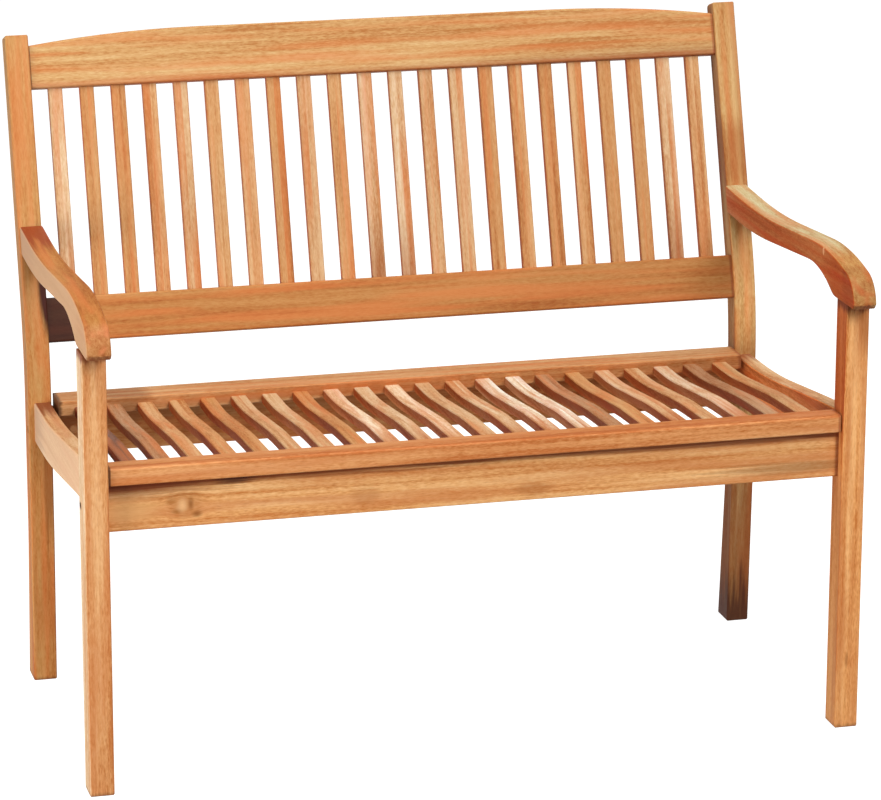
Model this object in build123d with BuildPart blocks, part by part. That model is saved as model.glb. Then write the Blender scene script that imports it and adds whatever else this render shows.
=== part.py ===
from build123d import *
import os
from math import asin, cos, degrees, radians, sin, sqrt, tan

# Two-seat garden bench in oiled hardwood, built as a joiner builds it.
#
# Two side frames (front leg, cranked rear leg, curved side rail and S-shaped armrest) are joined
# by the seat's aprons and the two back rails.  Every joint is a tenon in a mortise, a bolt with a
# barrel nut, or a dowel.  Millimetres.  +X is to the right seen from the front, +Y points to the
# back and +Z is up.  The origin is on the floor, under the middle of the bench's outline.

os.makedirs("parts", exist_ok=True)

# ---------------------------------------------------------------- driving dimensions
# Depths are measured backwards from the front face of the front legs, heights from the floor.
bench_width = 1065.0        # over the outer faces of the legs
stile_height = 905.0        # front corner of the back uprights
seat_height = 446.0         # top of the seat's front rail
seat_fall = 24.5            # top of its rear rail below that
leg_spacing = 449.0         # front leg's front face to rear leg's front face, at the seat

# Legs
leg_width = 32.5
front_leg_depth = 38.0
front_leg_height = 600.0    # shoulder under the armrest
rear_leg_depth = 32.0       # at its narrowest, below the seat
foot_depth = 42.0           # rear leg at the floor
foot_kick = 9.0             # how far the rear foot's toe stands behind the leg
kick_height = 215.0         # where the rear leg starts to splay
kick_radius = 400.0
back_rake = 17.6            # degrees that the back leans
bend_height = 489.0         # where the rake line leaves the leg's front line
bend_radius = 500.0
stile_low_depth = 34.0      # upright square to the rake, at the bend
stile_top_depth = 28.0      # and at the top
arris_chamfer = 1.6         # eased edges of legs and side rails
arris_round = 2.0           # soft edges of aprons and seat rails
stile_top_round = 6.0

# Back: rails and slats lie in one raked plane behind the uprights' front faces
slat_count = 22
back_recess = 5.0
back_rail_thickness = 21.0
lumbar_rail_start = 8.0     # up the rake from the bend
lumbar_rail_height = 62.0
crest_rail_height = 77.0    # at the middle
crest_rise = 1.9            # middle of its top edge above the uprights' tips
crest_flat = 520.0          # straight middle stretch of its top edge
crest_radius = 1730.0       # shoulders that fall towards the uprights
rail_round = 3.0
back_slat_width = 19.5
back_slat_thickness = 11.5
slat_chamfer = 1.2

# Seat
seat_front_setback = 5.0    # front rail behind the legs' front faces
seat_front_rail_depth = 31.0
seat_front_rail_thickness = 24.5
seat_rear_rail_depth = 49.0
seat_rear_rail_thickness = 21.3
seat_rear_lap = 11.0        # how far the rear rail lies on the rear apron
seat_front_end_gap = 1.5
seat_rear_end_gap = 3.5
seat_slat_width = 21.3
seat_slat_thickness = 12.5
seat_slat_margin = 26.0     # from the legs' inner planes to the outermost slats
slat_front_drop = 5.2       # slat tops below the front rail's top
slat_rear_drop = 8.8        # and below the rear rail's top
seat_brow = 123.0           # behind the front rail, where the slat's two falls meet
seat_brow_drop = 6.6
seat_hollow = 73.0          # ahead of the rear rail, where it levels out
seat_hollow_rise = 0.6
seat_bend_radius = 700.0
seat_front_round = 4.0

# Aprons and side rails
apron_height = 65.0
apron_thickness = 22.0
front_apron_setback = 16.5
side_rail_height = 56.0
side_rail_thickness = 23.0
side_rail_setback = 1.5     # behind the legs' inner faces
side_rail_front_drop = 0.5  # its top edge below the front rail's top
side_rail_rear_drop = 10.5  # and below the rear rail's top
side_brow = 72.0            # behind the front leg, first corner of its sweep
side_brow_drop = 6.9
side_brow_radius = 1000.0
side_hollow = 119.0         # ahead of the rear leg, the second
side_hollow_rise = 0.9
side_hollow_radius = 1100.0

# Armrests
arm_width = 32.5
arm_inset = 2.0             # armrests stand in from the legs towards the middle
arm_nose = 31.0             # how far the nose stands ahead of the leg
arm_nose_height = 2.0       # centre of the nose's arc above the leg's shoulder
arm_nose_radius = 44.0
arm_nose_slope = 13.5       # degrees, where the nose's arc ends
arm_lip = 6.0               # height of the bevel below the nose's arc
arm_lip_reach = 4.5
arm_rear_rise = 13.0        # underside at the upright above the leg's shoulder
arm_rear_height = 38.0
arm_round = 3.0
# Its top edge rises straight on from the nose to a corner, falls to a second one and rises to
# the upright; arcs round the corners off
arm_crest_reach = 75.0
arm_crest_radius = 400.0
arm_sag_setback = 95.0      # ahead of the rear leg
arm_sag_height = 41.2       # above the front leg's shoulder
arm_sag_radius = 1270.0
# Its underside runs level behind the front leg, rises steeply and falls slowly to its belly
arm_cove_reach = 12.0       # behind the front leg
arm_cove_radius = 30.0
arm_haunch_reach = 70.0
arm_haunch_height = 30.5
arm_haunch_radius = 160.0
arm_belly_setback = 65.0
arm_belly_height = 6.4
arm_belly_radius = 1000.0

# Joints
fit = 0.15                  # clearance on each side of a tenon
mortise_gap = 1.0           # left free beyond a tenon's end
shoulder_gap = 0.2          # between the armrest's end and the upright
slat_tenon_width = 14.0
slat_tenon_thickness = 6.5
slat_tenon_length = 13.0
rail_tenon_thickness = 9.0
rail_tenon_length = 16.0
lumbar_tenon_height = 40.0
crest_tenon_height = 36.0
apron_tenon_height = 18.0
apron_tenon_foot = 5.0      # tenon above the apron's lower edge
side_tenon_height = 26.0
side_tenon_length = 17.0
arm_tenon_width = 12.0
arm_tenon_height = 22.0
arm_tenon_length = 18.0
leg_tenon_depth = 20.0
leg_tenon_length = 20.0

# Hardware
bolt_diameter = 6.0
bolt_past_axis = 2.0        # the bolt's tip beyond the barrel nut's axis
bolt_head_diameter = 10.0
bolt_head_height = 3.0
bolt_head_sink = 1.0
bolt_socket = 4.0           # hexagon across flats
barrel_diameter = 10.0
barrel_length = 18.0
barrel_setback = 30.0       # barrel nut's axis inside the apron's end
bolt_rise = 35.0            # above the apron's lower edge
dowel_diameter = 6.0
dowel_length = 20.0
dowel_bays = 6              # slat pitches from the middle to a dowel, which stands between two slats
hole_fit = 0.1              # radial clearance of bolts, barrels and dowels

# ---------------------------------------------------------------- derived places
rake = radians(back_rake)
half_width = bench_width / 2
inner_x = half_width - leg_width                    # inner faces of the legs
leg_x = half_width - leg_width / 2                  # middle of a leg
side_rail_x = inner_x + side_rail_setback + side_rail_thickness / 2
arm_x = leg_x - arm_inset                           # middle of an armrest
back_slat_pitch = (2 * inner_x + back_slat_width) / (slat_count + 1)
seat_slat_span = 2 * (inner_x - seat_slat_margin) - seat_slat_width
seat_slat_pitch = seat_slat_span / (slat_count - 1)
slat_places = [i - (slat_count - 1) / 2 for i in range(slat_count)]
back_slat_x = [place * back_slat_pitch for place in slat_places]
seat_slat_x = [place * seat_slat_pitch for place in slat_places]

seat_rear_height = seat_height - seat_fall
stile_length = (stile_height - bend_height) / cos(rake)
stile_tip = (leg_spacing + stile_length * sin(rake), stile_height)
stile_back_tip = (
    stile_tip[0] + stile_top_depth * cos(rake),
    stile_tip[1] - stile_top_depth * sin(rake),
)
back_y = stile_back_tip[0] - stile_top_round * (cos(rake) + sin(rake) - 1)
front_y = (arm_nose - back_y) / 2                   # puts the outline's middle over the origin

back_middle = back_recess + back_rail_thickness / 2
lumbar_rail_end = lumbar_rail_start + lumbar_rail_height
crest_rail_end = stile_length + crest_rise
crest_rail_start = crest_rail_end - crest_rail_height
crest_end_drop = crest_radius - sqrt(crest_radius ** 2 - (inner_x - crest_flat / 2) ** 2)
lumbar_tenon_middle = (lumbar_rail_start + lumbar_rail_end) / 2
crest_tenon_middle = (crest_rail_start + crest_rail_end - crest_end_drop) / 2

front_apron_top = seat_height - seat_front_rail_thickness
rear_apron_top = seat_rear_height - seat_rear_rail_thickness
front_apron_middle = front_apron_setback + apron_thickness / 2
rear_apron_middle = leg_spacing + apron_thickness / 2
apron_tenon_drop = apron_height - apron_tenon_foot - apron_tenon_height / 2
bolt_drop = apron_height - bolt_rise
bolt_reach = barrel_setback + bolt_past_axis
head_pocket = bolt_head_height + bolt_head_sink
bolt_length = leg_width - head_pocket + bolt_reach
dowel_x = [side * dowel_bays * seat_slat_pitch for side in (-1, 1)]

seat_front_back = seat_front_setback + seat_front_rail_depth
seat_rear_back = leg_spacing + seat_rear_lap
seat_rear_front = seat_rear_back - seat_rear_rail_depth
front_dowel_depth = (front_apron_setback + seat_front_back) / 2
rear_dowel_depth = (leg_spacing + seat_rear_back) / 2
slat_front_z = seat_height - slat_front_drop
slat_rear_z = seat_rear_height - slat_rear_drop

side_front_z = seat_height - side_rail_front_drop
side_rear_z = seat_rear_height - side_rail_rear_drop
side_front_tenon_z = side_front_z - side_rail_height / 2
side_rear_tenon_z = side_rear_z - side_tenon_height / 2 - rail_round - fit

arm_rear_low = front_leg_height + arm_rear_rise
arm_rear_high = arm_rear_low + arm_rear_height
arm_tenon_z = (arm_rear_low + arm_rear_high) / 2


def stile_front(z):
    """Depth of the rear leg's front face at height z, above the splay."""
    start = bend_height - bend_radius * tan(rake / 2)
    end = bend_height + bend_radius * tan(rake / 2) * cos(rake)
    if z <= start:
        return leg_spacing
    if z >= end:
        return leg_spacing + (z - bend_height) * tan(rake)
    return leg_spacing + bend_radius - sqrt(bend_radius ** 2 - (z - start) ** 2)


arm_tenon_end = stile_front(arm_tenon_z) + arm_tenon_length


# ---------------------------------------------------------------- drawing planes
def side_plane(x):
    """Side view: x is the depth from the front legs, y is the height."""
    return Plane(origin=(x, front_y, 0), x_dir=(0, 1, 0), z_dir=(1, 0, 0))


def depth_plane(depth):
    """Front view at a depth: x is X, y is the height; its normal points to the front."""
    return Plane(origin=(0, front_y + depth, 0), x_dir=(1, 0, 0), z_dir=(0, -1, 0))


def level_plane(z):
    """Plan view at a height: x is X, y is the depth."""
    return Plane(origin=(0, front_y, z), x_dir=(1, 0, 0), z_dir=(0, 0, 1))


def back_plane(depth):
    """Front view of the raked back, depth behind the uprights' faces; y runs up the rake."""
    face = Plane(
        origin=(0, front_y + leg_spacing, bend_height),
        x_dir=(1, 0, 0),
        z_dir=(0, -cos(rake), sin(rake)),
    )
    return face.offset(-depth)


def back_point(x, height):
    """A point in the middle of the raked back's thickness, height up the rake."""
    y = leg_spacing + height * sin(rake) + back_middle * cos(rake)
    z = bend_height + height * cos(rake) - back_middle * sin(rake)
    return (x, front_y + y, z)


def back_section(height):
    """Cut across the raked back: x is X, y runs backwards; its normal points up the rake."""
    return Plane(origin=back_point(0, height), x_dir=(1, 0, 0), z_dir=(0, sin(rake), cos(rake)))


def stile_plane(height):
    """Inner face of the right upright: x runs backwards, y up the rake."""
    return Plane(
        origin=back_point(inner_x, height),
        x_dir=(0, cos(rake), -sin(rake)),
        z_dir=(1, 0, 0),
    )


def bolt_seat(depth, z):
    """Outer face of the right legs, at a bolt's axis."""
    return Plane(origin=(half_width, front_y + depth, z), x_dir=(0, 1, 0), z_dir=(1, 0, 0))


def save(piece, name):
    """Label one finished piece and write its STEP file."""
    piece.label = name
    export_step(piece, f"parts/{name}.step")


def long_edges(builder, span):
    """Edges that run along a rail, without those round its ends."""
    return builder.edges().filter_by(lambda edge: edge.length > span)


def upper_edges(builder):
    """Edges along both sides of a shaped piece's upper faces."""
    upper = builder.faces().filter_by(lambda face: face.normal_at().Z > 0.5)
    return upper.edges().filter_by(Axis.X, reverse=True)


# ---------------------------------------------------------------- rear legs
with BuildPart() as rear_leg_right:
    with BuildSketch(side_plane(inner_x)):
        with BuildLine():
            front_edge = FilletPolyline(
                (leg_spacing + foot_kick, 0),
                (leg_spacing, kick_height),
                (leg_spacing, bend_height),
                stile_tip,
                radius=[kick_radius, bend_radius],
            )
            rear_edge = FilletPolyline(
                (leg_spacing + foot_kick + foot_depth, 0),
                (leg_spacing + rear_leg_depth, kick_height),
                (leg_spacing + stile_low_depth * cos(rake), bend_height - stile_low_depth * sin(rake)),
                stile_back_tip,
                radius=[kick_radius, bend_radius],
            )
            Line(front_edge @ 0, rear_edge @ 0)
            Line(front_edge @ 1, rear_edge @ 1)
        make_face()
        fillet(vertices().sort_by(Axis.X)[-1], stile_top_round)
    extrude(amount=leg_width)
    across = faces().sort_by(Axis.X)
    chamfer(across[0].edges() + across[-1].edges() + faces().sort_by(Axis.Z)[0].edges(), arris_chamfer)
    # Mortises for the two back rails, in the inner face
    for middle, height in (
        (crest_tenon_middle, crest_tenon_height),
        (lumbar_tenon_middle, lumbar_tenon_height),
    ):
        with BuildSketch(stile_plane(middle)):
            Rectangle(rail_tenon_thickness + 2 * fit, height + 2 * fit)
        extrude(amount=rail_tenon_length + mortise_gap, mode=Mode.SUBTRACT)
    # Mortise for the armrest, in the front face
    with BuildSketch(depth_plane(arm_tenon_end + mortise_gap)):
        with Locations((arm_x, arm_tenon_z)):
            Rectangle(arm_tenon_width + 2 * fit, arm_tenon_height + 2 * fit)
    extrude(amount=2 * arm_tenon_length, mode=Mode.SUBTRACT)
    # Mortise for the side rail, lower in the front face
    with BuildSketch(depth_plane(leg_spacing + side_tenon_length + mortise_gap)):
        with Locations((side_rail_x, side_rear_tenon_z)):
            Rectangle(rail_tenon_thickness + 2 * fit, side_tenon_height + 2 * fit)
    extrude(amount=2 * side_tenon_length, mode=Mode.SUBTRACT)
    # Mortise and bolt hole for the rear apron
    with BuildSketch(side_plane(inner_x)):
        with Locations((rear_apron_middle, rear_apron_top - apron_tenon_drop)):
            Rectangle(rail_tenon_thickness + 2 * fit, apron_tenon_height + 2 * fit)
    extrude(amount=rail_tenon_length + mortise_gap, mode=Mode.SUBTRACT)
    with Locations(bolt_seat(rear_apron_middle, rear_apron_top - bolt_drop)):
        CounterBoreHole(
            radius=bolt_diameter / 2 + hole_fit,
            counter_bore_radius=bolt_head_diameter / 2 + hole_fit,
            counter_bore_depth=head_pocket,
            depth=leg_width,
        )
save(rear_leg_right.part, "rear_leg_right")

with BuildPart() as rear_leg_left:
    mirror(rear_leg_right.part, about=Plane.YZ)
save(rear_leg_left.part, "rear_leg_left")

# ---------------------------------------------------------------- front legs
with BuildPart() as front_leg_right:
    with BuildSketch(level_plane(0)):
        with Locations((leg_x, front_leg_depth / 2)):
            Rectangle(leg_width, front_leg_depth)
    extrude(amount=front_leg_height)
    chamfer(edges().filter_by(Axis.Z) + edges().group_by(Axis.Z)[0], arris_chamfer)
    # Tenon up into the armrest
    with BuildSketch(level_plane(front_leg_height)):
        with Locations((leg_x, front_leg_depth / 2)):
            Rectangle(arm_tenon_width, leg_tenon_depth)
    extrude(amount=leg_tenon_length)
    # Mortise for the side rail, in the rear face
    with BuildSketch(depth_plane(front_leg_depth + side_tenon_length)):
        with Locations((side_rail_x, side_front_tenon_z)):
            Rectangle(rail_tenon_thickness + 2 * fit, side_tenon_height + 2 * fit)
    extrude(amount=2 * side_tenon_length + mortise_gap, mode=Mode.SUBTRACT)
    # Mortise and bolt hole for the front apron
    with BuildSketch(side_plane(inner_x)):
        with Locations((front_apron_middle, front_apron_top - apron_tenon_drop)):
            Rectangle(rail_tenon_thickness + 2 * fit, apron_tenon_height + 2 * fit)
    extrude(amount=rail_tenon_length + mortise_gap, mode=Mode.SUBTRACT)
    with Locations(bolt_seat(front_apron_middle, front_apron_top - bolt_drop)):
        CounterBoreHole(
            radius=bolt_diameter / 2 + hole_fit,
            counter_bore_radius=bolt_head_diameter / 2 + hole_fit,
            counter_bore_depth=head_pocket,
            depth=leg_width,
        )
save(front_leg_right.part, "front_leg_right")

with BuildPart() as front_leg_left:
    mirror(front_leg_right.part, about=Plane.YZ)
save(front_leg_left.part, "front_leg_left")

# ---------------------------------------------------------------- armrests
with BuildPart() as armrest_right:
    with BuildSketch(side_plane(arm_x - arm_width / 2)):
        with BuildLine():
            lip_angle = asin((arm_lip - arm_nose_height) / arm_nose_radius)
            nose = CenterArc(
                (arm_nose_radius * cos(lip_angle) - arm_nose, front_leg_height + arm_nose_height),
                arm_nose_radius,
                90 + arm_nose_slope,
                90 - arm_nose_slope - degrees(lip_angle),
            )
            slope = radians(arm_nose_slope)
            top_edge = FilletPolyline(
                nose @ 0,
                nose @ 0 + Vector(cos(slope), sin(slope)) * arm_crest_reach,
                (leg_spacing - arm_sag_setback, front_leg_height + arm_sag_height),
                (stile_front(arm_rear_high) - shoulder_gap, arm_rear_high),
                radius=[arm_crest_radius, arm_sag_radius],
            )
            underside = FilletPolyline(
                (front_leg_depth, front_leg_height),
                (front_leg_depth + arm_cove_reach, front_leg_height),
                (front_leg_depth + arm_haunch_reach, front_leg_height + arm_haunch_height),
                (leg_spacing - arm_belly_setback, front_leg_height + arm_belly_height),
                (stile_front(arm_rear_low) - shoulder_gap, arm_rear_low),
                radius=[arm_cove_radius, arm_haunch_radius, arm_belly_radius],
            )
            Polyline(
                nose @ 1,
                (arm_lip_reach - arm_nose, front_leg_height),
                underside @ 0,
            )
            Line(underside @ 1, top_edge @ 1)
        make_face()
    extrude(amount=arm_width)
    across = faces().sort_by(Axis.X)
    outline = (across[0].edges() + across[-1].edges()).sort_by(Axis.Y)
    fillet(outline[:-2], arm_round)
    # Tenon back into the upright
    with BuildSketch(depth_plane(arm_tenon_end)):
        with Locations((arm_x, arm_tenon_z)):
            Rectangle(arm_tenon_width, arm_tenon_height)
    extrude(amount=2 * arm_tenon_length)
    # Mortise for the front leg's tenon
    with BuildSketch(level_plane(front_leg_height)):
        with Locations((leg_x, front_leg_depth / 2)):
            Rectangle(arm_tenon_width + 2 * fit, leg_tenon_depth + 2 * fit)
    extrude(amount=leg_tenon_length + mortise_gap, mode=Mode.SUBTRACT)
save(armrest_right.part, "armrest_right")

with BuildPart() as armrest_left:
    mirror(armrest_right.part, about=Plane.YZ)
save(armrest_left.part, "armrest_left")

# ---------------------------------------------------------------- side rails
def side_sweep(drop):
    """Swept top edge of a side rail, or its lower edge when dropped by the rail's height."""
    return FilletPolyline(
        (front_leg_depth, side_front_z - drop),
        (front_leg_depth + side_brow, side_front_z - side_brow_drop - drop),
        (leg_spacing - side_hollow, side_rear_z + side_hollow_rise - drop),
        (leg_spacing, side_rear_z - drop),
        radius=[side_brow_radius, side_hollow_radius],
    )


with BuildPart() as side_rail_right:
    with BuildSketch(side_plane(inner_x + side_rail_setback)):
        with BuildLine():
            top_edge = side_sweep(0)
            bottom_edge = side_sweep(side_rail_height)
            Line(top_edge @ 0, bottom_edge @ 0)
            Line(top_edge @ 1, bottom_edge @ 1)
        make_face()
    extrude(amount=side_rail_thickness)
    across = faces().sort_by(Axis.X)
    outline = (across[0].edges() + across[-1].edges()).sort_by(Axis.Y)
    chamfer(outline[2:-2], arris_chamfer)
    for shoulder, z, way in (
        (front_leg_depth, side_front_tenon_z, 1),
        (leg_spacing, side_rear_tenon_z, -1),
    ):
        with BuildSketch(depth_plane(shoulder)):
            with Locations((side_rail_x, z)):
                Rectangle(rail_tenon_thickness, side_tenon_height)
        extrude(amount=way * side_tenon_length)
save(side_rail_right.part, "side_rail_right")

with BuildPart() as side_rail_left:
    mirror(side_rail_right.part, about=Plane.YZ)
save(side_rail_left.part, "side_rail_left")


# ---------------------------------------------------------------- aprons
def apron(middle, top, inward, dowel_depth):
    """Board between two legs; inward is the side its barrel nuts go in from, +1 for the back."""
    with BuildPart() as board:
        with BuildSketch(level_plane(top - apron_height)):
            with Locations((0, middle)):
                Rectangle(2 * inner_x, apron_thickness)
        extrude(amount=apron_height)
        fillet(edges().filter_by(Axis.X), arris_round)
        with BuildSketch(side_plane(0)):
            with Locations((middle, top - apron_tenon_drop)):
                Rectangle(rail_tenon_thickness, apron_tenon_height)
        extrude(amount=inner_x + rail_tenon_length, both=True)
        # Bolt holes in from each end, crossed by the barrel nuts' holes
        for side in (-1, 1):
            end = Plane(
                origin=(side * inner_x, front_y + middle, top - bolt_drop),
                x_dir=(0, 1, 0),
                z_dir=(side, 0, 0),
            )
            with Locations(end):
                Hole(bolt_diameter / 2 + hole_fit, bolt_reach + mortise_gap)
            face = Plane(
                origin=(
                    side * (inner_x - barrel_setback),
                    front_y + middle + inward * apron_thickness / 2,
                    top - bolt_drop,
                ),
                x_dir=(1, 0, 0),
                z_dir=(0, inward, 0),
            )
            with Locations(face):
                Hole(barrel_diameter / 2 + hole_fit, barrel_length + hole_fit)
        with BuildSketch(level_plane(top)):
            with Locations(*[(x, dowel_depth) for x in dowel_x]):
                Circle(dowel_diameter / 2 + hole_fit)
        extrude(amount=-(dowel_length + mortise_gap) / 2, mode=Mode.SUBTRACT)
    return board.part


save(apron(front_apron_middle, front_apron_top, 1, front_dowel_depth), "front_apron")
save(apron(rear_apron_middle, rear_apron_top, -1, rear_dowel_depth), "rear_apron")


# ---------------------------------------------------------------- seat rails
def seat_rail(front, back, top, thickness, end_gap, nose_round, slat_z, slats_behind, dowel_depth):
    """Long rail of the seat: a row of slat mortises in one face and dowel holes below."""
    with BuildPart() as rail:
        with BuildSketch(level_plane(top - thickness)):
            with Locations((0, (front + back) / 2)):
                Rectangle(2 * (inner_x - end_gap), back - front)
        extrude(amount=thickness)
        upper, lower = edges().filter_by(Axis.X).group_by(Axis.Z)[::-1]
        nose = upper.sort_by(Axis.Y)[0]
        fillet(lower + upper.sort_by(Axis.Y)[-1], arris_round)
        fillet(nose, nose_round)
        with BuildSketch(depth_plane(back if slats_behind else front)):
            with Locations(*[(x, slat_z) for x in seat_slat_x]):
                Rectangle(slat_tenon_width + 2 * fit, slat_tenon_thickness + 2 * fit)
        into = 1 if slats_behind else -1
        extrude(amount=into * (slat_tenon_length + mortise_gap), mode=Mode.SUBTRACT)
        with BuildSketch(level_plane(top - thickness)):
            with Locations(*[(x, dowel_depth) for x in dowel_x]):
                Circle(dowel_diameter / 2 + hole_fit)
        extrude(amount=(dowel_length + mortise_gap) / 2, mode=Mode.SUBTRACT)
    return rail.part


seat_front_rail = seat_rail(
    front=seat_front_setback,
    back=seat_front_back,
    top=seat_height,
    thickness=seat_front_rail_thickness,
    end_gap=seat_front_end_gap,
    nose_round=seat_front_round,
    slat_z=slat_front_z - seat_slat_thickness / 2,
    slats_behind=True,
    dowel_depth=front_dowel_depth,
)
save(seat_front_rail, "seat_front_rail")

seat_rear_rail = seat_rail(
    front=seat_rear_front,
    back=seat_rear_back,
    top=seat_rear_height,
    thickness=seat_rear_rail_thickness,
    end_gap=seat_rear_end_gap,
    nose_round=arris_round,
    slat_z=slat_rear_z - seat_slat_thickness / 2,
    slats_behind=False,
    dowel_depth=rear_dowel_depth,
)
save(seat_rear_rail, "seat_rear_rail")

# ---------------------------------------------------------------- back rails
with BuildPart() as back_top_rail:
    with BuildSketch(back_plane(back_recess)):
        with BuildLine():
            crown = Line((-crest_flat / 2, crest_rail_end), (crest_flat / 2, crest_rail_end))
            right = TangentArc(crown @ 1, (inner_x, crest_rail_end - crest_end_drop), tangent=(1, 0))
            left = TangentArc(crown @ 0, (-inner_x, crest_rail_end - crest_end_drop), tangent=(-1, 0))
            Polyline(left @ 1, (-inner_x, crest_rail_start), (inner_x, crest_rail_start), right @ 1)
        make_face()
    extrude(amount=-back_rail_thickness)
    fillet(long_edges(back_top_rail, crest_rail_height), rail_round)
    with BuildSketch(stile_plane(crest_tenon_middle).offset(-inner_x)):
        Rectangle(rail_tenon_thickness, crest_tenon_height)
    extrude(amount=inner_x + rail_tenon_length, both=True)
    with BuildSketch(back_section(crest_rail_start)):
        with Locations(*[(x, 0) for x in back_slat_x]):
            Rectangle(slat_tenon_width + 2 * fit, slat_tenon_thickness + 2 * fit)
    extrude(amount=slat_tenon_length + mortise_gap, mode=Mode.SUBTRACT)
save(back_top_rail.part, "back_top_rail")

with BuildPart() as back_bottom_rail:
    with BuildSketch(back_plane(back_recess)):
        with Locations((0, lumbar_tenon_middle)):
            Rectangle(2 * inner_x, lumbar_rail_height)
    extrude(amount=-back_rail_thickness)
    fillet(edges().filter_by(Axis.X), rail_round)
    with BuildSketch(stile_plane(lumbar_tenon_middle).offset(-inner_x)):
        Rectangle(rail_tenon_thickness, lumbar_tenon_height)
    extrude(amount=inner_x + rail_tenon_length, both=True)
    with BuildSketch(back_section(lumbar_rail_end)):
        with Locations(*[(x, 0) for x in back_slat_x]):
            Rectangle(slat_tenon_width + 2 * fit, slat_tenon_thickness + 2 * fit)
    extrude(amount=-(slat_tenon_length + mortise_gap), mode=Mode.SUBTRACT)
save(back_bottom_rail.part, "back_bottom_rail")

# ---------------------------------------------------------------- slats
for number, x in enumerate(back_slat_x, start=1):
    with BuildPart() as back_slat:
        with BuildSketch(back_section(lumbar_rail_end)):
            with Locations((x, 0)):
                Rectangle(back_slat_width, back_slat_thickness)
        extrude(amount=crest_rail_start - lumbar_rail_end)
        chamfer(long_edges(back_slat, back_slat_width + fit), slat_chamfer)
        with BuildSketch(back_section(lumbar_rail_end - slat_tenon_length)):
            with Locations((x, 0)):
                Rectangle(slat_tenon_width, slat_tenon_thickness)
        extrude(amount=crest_rail_start - lumbar_rail_end + 2 * slat_tenon_length)
    save(back_slat.part, f"back_slat_{number:02d}")


def seat_sweep(drop):
    """Contoured top edge of a seat slat, or its underside when dropped by its thickness."""
    return FilletPolyline(
        (seat_front_back, slat_front_z - drop),
        (seat_front_back + seat_brow, slat_front_z - seat_brow_drop - drop),
        (seat_rear_front - seat_hollow, slat_rear_z + seat_hollow_rise - drop),
        (seat_rear_front, slat_rear_z - drop),
        radius=seat_bend_radius,
    )


for number, x in enumerate(seat_slat_x, start=1):
    with BuildPart() as seat_slat:
        with BuildSketch(side_plane(x - seat_slat_width / 2)):
            with BuildLine():
                top_edge = seat_sweep(0)
                bottom_edge = seat_sweep(seat_slat_thickness)
                Line(top_edge @ 0, bottom_edge @ 0)
                Line(top_edge @ 1, bottom_edge @ 1)
            make_face()
        extrude(amount=seat_slat_width)
        chamfer(upper_edges(seat_slat), slat_chamfer)
        for shoulder, z, way in (
            (seat_front_back, slat_front_z, 1),
            (seat_rear_front, slat_rear_z, -1),
        ):
            with BuildSketch(depth_plane(shoulder)):
                with Locations((x, z - seat_slat_thickness / 2)):
                    Rectangle(slat_tenon_width, slat_tenon_thickness)
            extrude(amount=way * slat_tenon_length)
    save(seat_slat.part, f"seat_slat_{number:02d}")


# ---------------------------------------------------------------- hardware
# Four bolts through the legs, each in a barrel nut let into the apron's inner face
with BuildPart() as frame_bolts:
    for depth, z, inward in (
        (front_apron_middle, front_apron_top - bolt_drop, 1),
        (rear_apron_middle, rear_apron_top - bolt_drop, -1),
    ):
        with BuildSketch(depth_plane(depth + inward * apron_thickness / 2)):
            with Locations((inner_x - barrel_setback, z)):
                Circle(barrel_diameter / 2)
        extrude(amount=inward * barrel_length)
        head = bolt_seat(depth, z).offset(-bolt_head_sink)
        with BuildSketch(head):
            Circle(bolt_diameter / 2 + hole_fit)
        extrude(amount=-(leg_width + bolt_reach), mode=Mode.SUBTRACT)
        with BuildSketch(head):
            Circle(bolt_head_diameter / 2)
        extrude(amount=-bolt_head_height)
        with BuildSketch(head.offset(-bolt_head_height)):
            Circle(bolt_diameter / 2)
        extrude(amount=-bolt_length)
        with BuildSketch(head):
            RegularPolygon(bolt_socket / 2, 6, major_radius=False)
        extrude(amount=-bolt_socket / 2, mode=Mode.SUBTRACT)
    mirror(about=Plane.YZ)
save(frame_bolts.part, "frame_bolts")

# Dowels that hold the seat's rails on the aprons' top edges
with BuildPart() as seat_dowels:
    for depth, top in (
        (front_dowel_depth, front_apron_top),
        (rear_dowel_depth, rear_apron_top),
    ):
        with BuildSketch(level_plane(top - dowel_length / 2)):
            with Locations(*[(x, depth) for x in dowel_x]):
                Circle(dowel_diameter / 2)
        extrude(amount=dowel_length)
save(seat_dowels.part, "seat_dowels")
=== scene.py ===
# %% [markdown]
# # A garden bench, dressed on its CAD frame
# The frame holds every board of the bench at its real size: legs, rails, slats and armrests.
# Blender adds what the CAD model can't hold: the oiled hardwood, the plating of the bolts, the
# light of a white studio, and the camera. Nothing is added to the bench and nothing replaced,
# because every piece that can be seen on the real one is a solid already.

import math

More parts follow.
